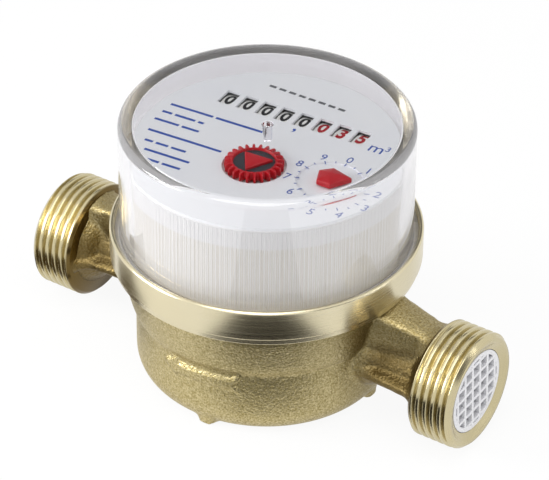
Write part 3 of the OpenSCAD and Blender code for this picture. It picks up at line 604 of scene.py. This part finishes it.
def threaded_end(sign):
    """Closed tube along X. Along the outside r = R - depth * groove(x / pitch - angle / turn), with the
    groove a raised cosine to a power, which gives wide rounded crests; the ends are chamfered."""
    face = body_high[0]
    along = np.linspace(cut_at - 0.05, face, thread_rows)[:, None]
    turn = np.linspace(0, 1, thread_steps, endpoint=False)[None, :]
    wave = (0.5 + 0.5 * np.cos(2 * np.pi * (along / thread_pitch - sign * turn))) ** crest_power
    runs = smooth_step(along, thread_start + 0.2, thread_start + 1.6)
    runs = runs * smooth_step(face - along, 0.1, 0.8)
    outer = crest_r - thread_depth * wave * runs
    lead_in = np.maximum(0, along - (face - chamfer))
    outer = np.minimum(outer, crest_r - lead_in)
    outer = np.minimum(outer, crest_r - np.maximum(0, thread_start + 0.4 - along))
    rim = np.array([[face, mouth_r + 1.8], [face - 0.15, mouth_r + 1.6], [face - 0.75, mouth_r + 0.5],
                    [face - 0.85, mouth_r + 0.05], [mouth_floor, mouth_r], [mouth_floor, bore_r],
                    [cut_at - 0.05, bore_r]])
    rows_x = np.concatenate([np.repeat(along, thread_steps, axis=1),
                             np.repeat(rim[:, :1], thread_steps, axis=1)])
    rows_r = np.concatenate([outer, np.repeat(rim[:, 1:], thread_steps, axis=1)])
    spin = 2 * np.pi * turn
    return np.stack([sign * rows_x, rows_r * np.cos(spin), axis_height + rows_r * np.sin(spin)], axis=-1)


for end_name, sign in (("inlet_thread", 1), ("outlet_thread", -1)):
    add_grid(end_name, threaded_end(sign), brass_thread, "housing", "turned_brass", 50)

# %% [markdown]
# ## Head ring
# The ring screws on the neck and holds the register down. It is turned all over: a plain band, a small
# cone at its foot and a thin lip at the top with a bead inside that snaps over the cover's flange. The
# profile is drawn once with small edge radii, because a lathe tool never leaves a knife edge.

# %% Head ring
ring_r = ring_high[0]
lip_inner_r = ring_r - 0.9
neck_r = 31.05
pocket_floor = ring_high[2] - 3.0
flange_under = ring_high[2] - 4.2
flange_r = 25.0
bead_z = pocket_floor + 1.6
bead_t = 0.3
ring_edge = 0.35
ring_round = 0.15
ring_corners = [[neck_r, ring_low[2]], [ring_r - 1.0, ring_low[2]], [ring_r - 0.55, ring_low[2] + 0.45],
                [ring_r - 0.32, ring_low[2] + 1.7], [ring_r, ring_low[2] + 2.0],
                [ring_r, ring_high[2] - ring_edge], [ring_r - ring_edge, ring_high[2]],
                [lip_inner_r, ring_high[2]], [lip_inner_r, bead_z + 0.8],
                [lip_inner_r - bead_t, bead_z + 0.5], [lip_inner_r - bead_t, bead_z], [lip_inner_r, bead_z],
                [lip_inner_r, pocket_floor], [flange_r, pocket_floor], [flange_r, flange_under],
                [neck_r, flange_under]]
ring_piece = add_grid("head_ring_turned", revolve(rounded(ring_corners, ring_round), 256), brass_ring,
                      "housing", "turned_brass", 50)
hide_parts("head_ring")

# %% [markdown]
# ## Clear cover
# The cover is one moulding: a flat disc with a rounded edge, a thick wall, a flange at its foot, and a
# small post under the middle of the disc. Its refraction gives the dial its doubled edge, so the inner
# and the outer skin are both modelled, with their own radii.

# %% Clear cover
cover_low, cover_high = box_mm("clear_cover")
flange_out = cover_high[0]
flange_top = cover_low[2] + 1.2
flange_edge = 0.25
foot_round = 0.5
cover_r = flange_out - 1.2
cover_wall = 3.0
cover_in_r = cover_r - cover_wall
top_t = 2.4
under_top = cover_high[2] - top_t
outer_round = 1.5
inner_round = 0.5
post_r = 1.1
post_length = 4.0
post_round = 0.3
flat_r = 14
wall_middle = cover_low[2] + 12
cover_profile = np.concatenate([
    [[0, cover_high[2]], [flat_r, cover_high[2]], [cover_r - outer_round - 0.15, cover_high[2]]],
    arc((cover_r - outer_round, cover_high[2] - outer_round), outer_round, 90, 0, 14),
    [[cover_r, wall_middle], [cover_r, flange_top + 2 * foot_round]],
    arc((cover_r + foot_round, flange_top + foot_round), foot_round, 180, 270, 5),
    arc((flange_out - flange_edge, flange_top - flange_edge), flange_edge, 90, 0, 4),
    [[flange_out, cover_low[2]], [cover_in_r, cover_low[2]], [cover_in_r, wall_middle]],
    arc((cover_in_r - inner_round, under_top - inner_round), inner_round, 0, 90, 10),
    [[cover_in_r - inner_round - 0.15, under_top], [flat_r, under_top], [post_r + 0.5, under_top]],
    arc((post_r + post_round, under_top - post_round), post_round, 90, 180, 5),
    [[post_r * 0.92, under_top - post_length + post_round], [post_r * 0.75, under_top - post_length],
     [0, under_top - post_length]]])
cover_piece = add_grid("clear_cover_moulding", revolve(cover_profile, 192), clear_cover_material,
                       "register", "clear_plastic", 40, close_rows=False)
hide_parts("clear_cover")

# %% [markdown]
# ## Register cup
# The white cup under the cover is moulded with fine upright flutes all round. Each flute is a shallow
# wave of the radius with the angle. The floor and the bearing bosses stay as they are in the solid, so
# only a thin fluted sleeve is laid over its wall.

# %% Register cup
cup_low, cup_high = box_mm("register_cup")
cup_r = cup_high[1]
flute_count = 400
flute_depth = 0.2
sleeve_t = 0.05
sleeve_inset = 0.5
flute_steps = 6 * flute_count


def fluted_sleeve():
    """Closed thin sleeve: outer radius R + t - depth * (1 - cos(n a)) / 2, inner radius inside the cup's
    wall, with a plain band at the top and the foot."""
    turn = np.linspace(0, 2 * np.pi, flute_steps, endpoint=False)[None, :]
    height = np.array([cup_low[2] + 0.2, cup_low[2] + 0.8, cup_low[2] + 1.0, cup_high[2] - 0.5,
                       cup_high[2] - 0.3, cup_high[2] - 0.1])[:, None]
    depth = flute_depth * np.array([0, 0, 1, 1, 0, 0])[:, None]
    outer = cup_r + sleeve_t - depth * (0.5 - 0.5 * np.cos(flute_count * turn))
    inner = np.full((2, flute_steps), cup_r - sleeve_inset)
    rows_r = np.concatenate([outer, inner])
    rows_z = np.concatenate([np.repeat(height, flute_steps, axis=1),
                             np.repeat(height[[-1, 0]], flute_steps, axis=1)])
    return np.stack([rows_r * np.cos(turn), rows_r * np.sin(turn), rows_z], axis=-1)


add_grid("register_cup_flutes", fluted_sleeve(), cup_white, "register", "white_plastic", 60)

# %% [markdown]
# ## Numbers
# The numbers on the drums and the dial are plain figures. Each figure is made once as a flat outline,
# turned into a mesh and sliced across, so that it can bend. A drum's ten figures are then wrapped on
# its rim: height along the figure becomes an angle about the drum's shaft.

# %% Figures
dial_turn = np.radians(5.0)
ink_t = 0.02
drum_slices = 7
drum_stroke_gain = 0.035


def figure_mesh(text, slices=0, stroke_gain=0.0):
    """Points and faces of a flat text with its middle at 0,0 and a height of 1."""
    curve = bpy.data.curves.new("figure", "FONT")
    curve.body = text
    curve.resolution_u = 4
    curve.offset = stroke_gain
    holder = bpy.data.objects.new("figure", curve)
    bpy.context.scene.collection.objects.link(holder)
    evaluated = holder.evaluated_get(bpy.context.evaluated_depsgraph_get())
    flat = bpy.data.meshes.new_from_object(evaluated)
    bpy.data.objects.remove(holder)
    shaped = bmesh.new()
    shaped.from_mesh(flat)
    bmesh.ops.remove_doubles(shaped, verts=shaped.verts, dist=1e-5)
    reach = [vert.co.y for vert in shaped.verts]
    for height in np.linspace(min(reach), max(reach), slices + 2)[1:-1]:
        bmesh.ops.bisect_plane(shaped, geom=shaped.verts[:] + shaped.edges[:] + shaped.faces[:],
                               plane_co=(0, height, 0), plane_no=(0, 1, 0), dist=1e-6)
    bmesh.ops.triangulate(shaped, faces=shaped.faces)
    shaped.verts.index_update()
    points = np.array([vert.co for vert in shaped.verts])[:, :2]
    faces = np.array([[vert.index for vert in face.verts] for face in shaped.faces])
    shaped.free()
    bpy.data.meshes.remove(flat)
    low, high = points.min(0), points.max(0)
    return (points - (low + high) / 2) / (high[1] - low[1]), faces


def joined(parts):
    """Joins (points, faces) pairs into one pair, with the face numbers moved along."""
    points, faces, start = [], [], 0
    for part_points, part_faces in parts:
        points.append(part_points)
        faces.append(part_faces + start)
        start += len(part_points)
    return np.concatenate(points), np.concatenate(faces)


def thickened(points, lowered, faces):
    """Closes a sheet of triangles into a thin plate: the sheet, its lowered copy turned over, and a wall
    along each edge that only one triangle has."""
    count = len(points)
    edges = np.concatenate([faces[:, [0, 1]], faces[:, [1, 2]], faces[:, [2, 0]]]).tolist()
    seen = {tuple(edge) for edge in edges}
    rim = np.array([edge for edge in seen if edge[::-1] not in seen])
    walls = np.concatenate([np.column_stack([rim[:, 1], rim[:, 0], rim[:, 0] + count]),
                            np.column_stack([rim[:, 1], rim[:, 0] + count, rim[:, 1] + count])])
    return np.concatenate([points, lowered]), np.concatenate([faces, faces[:, ::-1] + count, walls])


def in_register(points):
    """Turns points from the register's own frame by the turn of the dial."""
    c, s = np.cos(dial_turn), np.sin(dial_turn)
    x, y, z = points.T
    return np.stack([x * c - y * s, x * s + y * c, z], axis=1)


figures = {digit: figure_mesh(str(digit), drum_slices, drum_stroke_gain) for digit in range(10)}
print("figures:", sum(len(faces) for _, faces in figures.values()), "faces")

# %% [markdown]
# The meter reads five black and three red figures. At rest the last drum stands a little past a figure,
# as it does while water runs, so its figures are turned by a small part of their spacing.

# %% Numbers on the drums
drum_count = 8
drum_pitch = 4.6
drum_r = 8.0
row_y = 11.9
drum_z = box_mm("drum_4")[1][2] - drum_r
figure_height = 4.05
figure_width_share = 0.8
figure_lift = 0.66
reading = [5.05, 3, 0, 0, 0, 0, 0, 0]
red_drums = 3


def drum_numbers(drum):
    """Ten figures on one rim: a figure's height t gives the angle t / R, the next figure follows at a
    tenth of a turn towards the reader, and the radius is the rim's plus the ink."""
    middle_x = (drum_count / 2 + 0.5 - drum) * drum_pitch
    parts = []
    for digit, (points, faces) in figures.items():
        towards_reader = (digit - reading[drum - 1]) * 2 * np.pi / 10
        lean = (points[:, 1] * figure_height + figure_lift) / drum_r - towards_reader
        across = middle_x + points[:, 0] * figure_height * figure_width_share
        skins = [np.stack([across, row_y + radius * np.sin(lean), drum_z + radius * np.cos(lean)], axis=1)
                 for radius in (drum_r + ink_t, drum_r - ink_t)]
        parts.append(thickened(in_register(skins[0]), in_register(skins[1]), faces))
    return joined(parts)


for drum in range(1, drum_count + 1):
    points, faces = drum_numbers(drum)
    add_piece(f"drum_{drum}_numbers", points * MM, faces, red_ink if drum <= red_drums else black_ink,
              f"drum_{drum}", "white_plastic")

# %% [markdown]
# ## Print on the dial
# The litre scale is a ring of ten figures with a long mark at each and a short mark between them. A
# unit sign stands beside the drums and a comma under them. Rows of plain bars fill the left of the dial.
# All of this is one thin layer of blue ink, and a row of grey marks above the drums is another.

# %% Print on the dial
dial_low, dial_high = box_mm("dial_plate")
ink_z = dial_high[2] + ink_t
pointer_at = np.array([18.3, -6.0])
scale_r = 7.6
label_r = 9.1
label_height = 2.2
scale_steps = 20
long_mark, short_mark, mark_width = 1.1, 0.6, 0.22
bar_height = 0.75
bar_rows = (((-25.8, 3.4), (10.5, 11.5)), ((-26.0, 0.1), (2.4, 5.0, 1.4)), ((-26.0, -3.2), (6.0, 4.2)),
            ((-25.0, -7.6), (18.0,)), ((-23.6, -11.4), (2.0, 3.0, 3.6)), ((-21.8, -14.6), (11.0,)),
            ((-19.4, -17.7), (3.0, 4.4)))


def plate(points, faces, centre, height, width_share=1.0):
    """Lays a figure flat on the dial."""
    flat = np.zeros((len(points), 3))
    flat[:, 0] = centre[0] + points[:, 0] * height * width_share
    flat[:, 1] = centre[1] + points[:, 1] * height
    flat[:, 2] = ink_z
    return flat, faces


def mark(start, end, width):
    """A straight mark: a thin rectangle from start to end."""
    way = np.subtract(end, start)
    across = np.array([-way[1], way[0]]) / np.linalg.norm(way) * width / 2
    corners = np.array([start - across, end - across, end + across, start + across])
    return np.column_stack([corners, np.full(4, ink_z)]), np.array([[0, 1, 2], [0, 2, 3]])


def row_of_bars(start, lengths, height, tilt=0.0):
    """A row of plain bars: each has a length, and a gap of one height follows it."""
    bars = []
    at = np.array(start, float)
    along = np.array([np.cos(tilt), np.sin(tilt)])
    for length in lengths:
        bars.append(mark(at, at + along * length, height))
        at = at + along * (length + height)
    return bars


def add_print(name, parts, ink):
    """Joins flat marks into one thin layer of ink that reaches a little way into the dial."""
    points, faces = joined(parts)
    points, faces = thickened(points, points - [0, 0, 2 * ink_t], faces)
    add_piece(name, in_register(points) * MM, faces, ink, "register", "white_plastic")


print_parts = []
for step in range(scale_steps):
    bearing = np.pi / 2 - step * 2 * np.pi / scale_steps
    ray = np.array([np.cos(bearing), np.sin(bearing)])
    length = long_mark if step % 2 == 0 else short_mark
    print_parts.append(mark(pointer_at + ray * (scale_r - length), pointer_at + ray * scale_r, mark_width))
    if step % 2 == 0:
        points, faces = figure_mesh(str(step // 2))
        print_parts.append(plate(points, faces, pointer_at + ray * label_r, label_height, 0.95))
print_parts.append(plate(*figure_mesh("m"), (21.2, 9.4), 2.2))
print_parts.append(plate(*figure_mesh("3"), (23.5, 10.7), 1.8))
print_parts.append(plate(*figure_mesh(","), (2.4, 7.3), 1.5))
for start, lengths in bar_rows:
    print_parts += row_of_bars(start, lengths, bar_height)
add_print("dial_print", print_parts, blue_ink)
add_print("dial_grey_marks", row_of_bars((-10.8, 20.6), (1.7,) * 8, 0.8, np.radians(-3)), grey_ink)

# %% [markdown]
# ## Star wheel and litre pointer
# Two small red mouldings show that water runs. The star wheel is a crown of blunt points around a dark
# sunk floor with a red triangle, and it turns in a shallow white well under the dial's round window.
# The pointer is a blunt arrow head with a crowned back. Both are grids in angle: the outline gives the
# radius at each angle, and rows of share and height shape the section.


# %% Star wheel and litre pointer
def from_outline(outline_r, rows, centre, turn=0.0):
    """Grid in angle a and row k: radius = share_k * outline(a) + plain_k, height = z_k."""
    angle = np.linspace(0, 2 * np.pi, len(outline_r), endpoint=False)
    rows = np.asarray(rows, float)
    radius = rows[:, :1] * outline_r[None, :] + rows[:, 1:2]
    grid = np.stack([centre[0] + radius * np.cos(angle + turn), centre[1] + radius * np.sin(angle + turn),
                     rows[:, 2:3] + 0 * radius], axis=-1)
    return in_register(grid.reshape(-1, 3)) * MM, grid_faces(len(rows), len(outline_r), close_columns=True)


star_low, star_high = box_mm("star_wheel")
star_at = np.array([1.6, -8.6])
star_tip = 6.4
star_root = 5.1
triangle_r = 3.9
floor_r = 4.46
round_steps = 96
star_points = 24
point_steps = 12
star_angle = np.linspace(0, 2 * np.pi, star_points * point_steps, endpoint=False)
star_wave = smooth_step(np.cos(star_points * star_angle), -0.2, 0.75)
star_outline = star_root + (star_tip - star_root) * star_wave
star_top = star_high[2] - 0.2
floor_z = star_top - 0.6
star_rows = [[0, 0, star_low[2]], [1, -0.25, star_low[2]], [1, 0, star_low[2] + 0.2],
             [1, 0, star_top - 0.45], [1, -0.18, star_top - 0.1], [1, -0.5, star_top],
             [0, 4.7, star_top], [0, 4.6, star_top - 0.1], [0, 4.5, floor_z], [0, 0, floor_z]]
star_piece = add_piece("star_wheel_moulding", *from_outline(star_outline, star_rows, star_at), red_abs,
                       "star", "red_plastic", 40)
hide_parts("star_wheel")

well_top = dial_low[2] - 0.05
well_under, well_floor = well_top - 0.8, well_top - 0.5
well_bore_r, well_in_r, well_r = 1.8, 7.1, 7.6
well_profile = [[well_bore_r, well_under], [well_r, well_under], [well_r, well_top], [well_in_r, well_top],
                [well_in_r, well_floor], [well_bore_r, well_floor]]
well_grid = revolve(rounded(well_profile, 0.08), round_steps) + [*star_at, 0]
add_grid("star_wheel_well", in_register(well_grid.reshape(-1, 3)).reshape(well_grid.shape), white_abs,
         "register", "white_plastic", 35)

disc_rows = [[1, 0, floor_z], [1, 0, floor_z + 0.05], [0, 0, floor_z + 0.05]]
add_piece("star_wheel_dark_floor", *from_outline(np.full(round_steps, floor_r), disc_rows, star_at),
          dark_disc, "star", "red_plastic", 40)


def polygon_outline(corners, steps):
    """Radius of a polygon around the origin at each angle: the nearest of its sides along that ray."""
    angle = np.linspace(0, 2 * np.pi, steps, endpoint=False)
    ray = np.stack([np.cos(angle), np.sin(angle)])
    start = np.asarray(corners, float)
    way = np.roll(start, -1, axis=0) - start
    normal = np.stack([way[:, 1], -way[:, 0]], axis=1)
    reach = np.sum(normal * start, axis=1)[:, None]
    facing = normal @ ray
    return np.where(facing > 1e-9, reach / np.maximum(facing, 1e-9), np.inf).min(axis=0)


triangle = polygon_outline([[triangle_r * np.cos(a), triangle_r * np.sin(a)]
                            for a in np.radians([30, 150, 270])], round_steps)
triangle_rows = [[1, 0, floor_z], [1, 0, star_top - 0.1], [0.9, 0, star_top + 0.1], [0.3, 0, star_high[2]],
                 [0, 0, star_high[2]]]
add_piece("star_wheel_triangle", *from_outline(triangle, triangle_rows, star_at), red_abs, "star",
          "red_plastic", 40)

pointer_low, pointer_high = box_mm("litre_pointer")
pointer_bearing = np.radians(20)
arrow_head = polygon_outline([[4.6, 0], [0.4, 3.2], [-2.6, 1.9], [-2.6, -1.9], [0.4, -3.2]], 160)
pointer_rows = [[0, 0, pointer_low[2]], [0.97, 0, pointer_low[2]], [1, 0, pointer_low[2] + 0.15],
                [1, 0, pointer_low[2] + 1.0], [0.95, 0, pointer_low[2] + 1.25],
                [0.5, 0, pointer_high[2] - 0.15], [0, 0, pointer_high[2]]]
pointer_piece = add_piece("litre_pointer_moulding",
                          *from_outline(arrow_head, pointer_rows, pointer_at, pointer_bearing), red_abs,
                          "pointer", "red_plastic", 28)
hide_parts("litre_pointer")

# %% [markdown]
# ## Floor, background and light
# The picture is a cut-out on white. The world and the floor are white to the camera, to reflections and
# through the cover, and light the object only as much as a pale room would. Three soft boxes give the
# shape, and dark cards draw the dark bands that turned brass shows.


# %% Floor and background
def seen_directly(tree, camera_share, other_share):
    """One share for rays from the camera, another for reflections and rays through clear pieces, and 0
    for the light that falls on surfaces."""
    path = put(tree, "ShaderNodeLightPath").outputs
    other = combine(tree, "MAXIMUM", path["Is Glossy Ray"], path["Is Transmission Ray"])
    return combine(tree, "MAXIMUM", combine(tree, "MULTIPLY", other, other_share),
                   combine(tree, "MULTIPLY", path["Is Camera Ray"], camera_share))


room_strength = 0.42
floor_seen, floor_mirrored = 0.92, 0.62
world = bpy.data.worlds.new("pale_room")
world.use_nodes = True
world.node_tree.nodes.clear()
strength = ramp(world.node_tree, seen_directly(world.node_tree, 1.0, 1.0), 0.0, 1.0, room_strength, 1.0)
sky = put(world.node_tree, "ShaderNodeBackground", {"Color": linear("#FFFFFF"), "Strength": strength})
put(world.node_tree, "ShaderNodeOutputWorld", {"Surface": sky.outputs["Background"]})
bpy.context.scene.world = world

floor_material, tree, _ = start_material("pale_floor_sheet")
glow = put(tree, "ShaderNodeEmission", {"Color": linear("#FFFFFF"), "Strength": 1.0})
matt = put(tree, "ShaderNodeBsdfDiffuse", {"Color": linear("#FAFAFA")})
finish_mix(tree, seen_directly(tree, floor_seen, floor_mirrored), matt.outputs["BSDF"],
           glow.outputs["Emission"])


def flat_card(name, centre, across, upwards, material):
    """A rectangle from its centre and its two half sides."""
    corners = [np.subtract(centre, across) - upwards, np.add(centre, across) - upwards,
               np.add(centre, across) + upwards, np.subtract(centre, across) + upwards]
    mesh = bpy.data.meshes.new(name)
    mesh.from_pydata(np.array(corners).tolist(), [], [[0, 1, 2, 3]])
    mesh.materials.append(material)
    card = bpy.data.objects.new(name, mesh)
    bpy.context.scene.collection.objects.link(card)
    return card


flat_card("floor", (0, 0, 0), (4, 0, 0), (0, 4, 0), floor_material)
print("floor and background:", floor_material.name, world.name)

# %% [markdown]
# The soft boxes are area lamps: one over the reader's head, one at the left for the bright side of the
# pot, and a weak one at the right. The cards lie or stand where the brass mirrors them. The camera never
# sees them and they cast no shadow; only the back card is also seen through the cover.


# %% Soft boxes and cards
def soft_box(name, place, target, width, height, power):
    """An area lamp at a place, turned to face a target."""
    lamp = bpy.data.lights.new(name, "AREA")
    lamp.shape = "RECTANGLE"
    lamp.size = width
    lamp.size_y = height
    lamp.energy = power
    holder = bpy.data.objects.new(name, lamp)
    away = np.subtract(place, target)
    away = away / np.linalg.norm(away)
    aside = np.cross([0, 1, 0], away)
    aside = aside / np.linalg.norm(aside)
    turned = np.eye(4)
    turned[:3, 0], turned[:3, 1], turned[:3, 2] = aside, np.cross(away, aside), away
    turned[:3, 3] = place
    holder.matrix_world = Matrix(turned.tolist())
    bpy.context.scene.collection.objects.link(holder)


def card_finish(name, colour):
    """A dull finish of one colour."""
    material, tree, _ = start_material(name)
    matt = put(tree, "ShaderNodeBsdfDiffuse", {"Color": linear(colour)})
    put(tree, "ShaderNodeOutputMaterial", {"Surface": matt.outputs["BSDF"]})
    return material


meter_middle = (0, 0, 0.03)
soft_box("top_box", (0.12, -0.36, 0.9), meter_middle, 0.7, 0.7, 4.4)
soft_box("left_box", (-0.66, -0.58, 0.38), meter_middle, 0.4, 0.5, 6.4)
soft_box("right_box", (0.8, 0.25, 0.4), meter_middle, 0.3, 0.5, 1.5)

card_material = card_finish("dark_card", "#1C1914")
# Painted shade: the brown neck card lies on the floor under the left neck, is seen only in reflections, and
# stands in for the shade there.
neck_shade_material = card_finish("brown_shade_card", "#4A3E28")
towards = np.array([np.sin(view_azimuth), -np.cos(view_azimuth), 0])
dark_cards = [flat_card("front_card", towards * 0.1225 + np.array([0, 0, 0.0005]), level * 0.033,
                        towards * 0.0825, card_material),
              flat_card("right_card", (0.42, 0.1, 0.2), (0.1, 0.25, 0), (0, 0, 0.09), card_material),
              flat_card("back_card", (-0.45, 0.67, 0.65), level * 0.5, upright * 0.33, card_material),
              flat_card("neck_shade_card", (-0.057, -0.030, 0.0003), (0.02, 0, 0), (0, 0.014, 0), neck_shade_material)]
for card in dark_cards:
    card.visible_camera = False
    card.visible_diffuse = False
    card.visible_transmission = card.name == "back_card"
    card.visible_shadow = False
print("light: three soft boxes,", len(dark_cards), "dark cards")
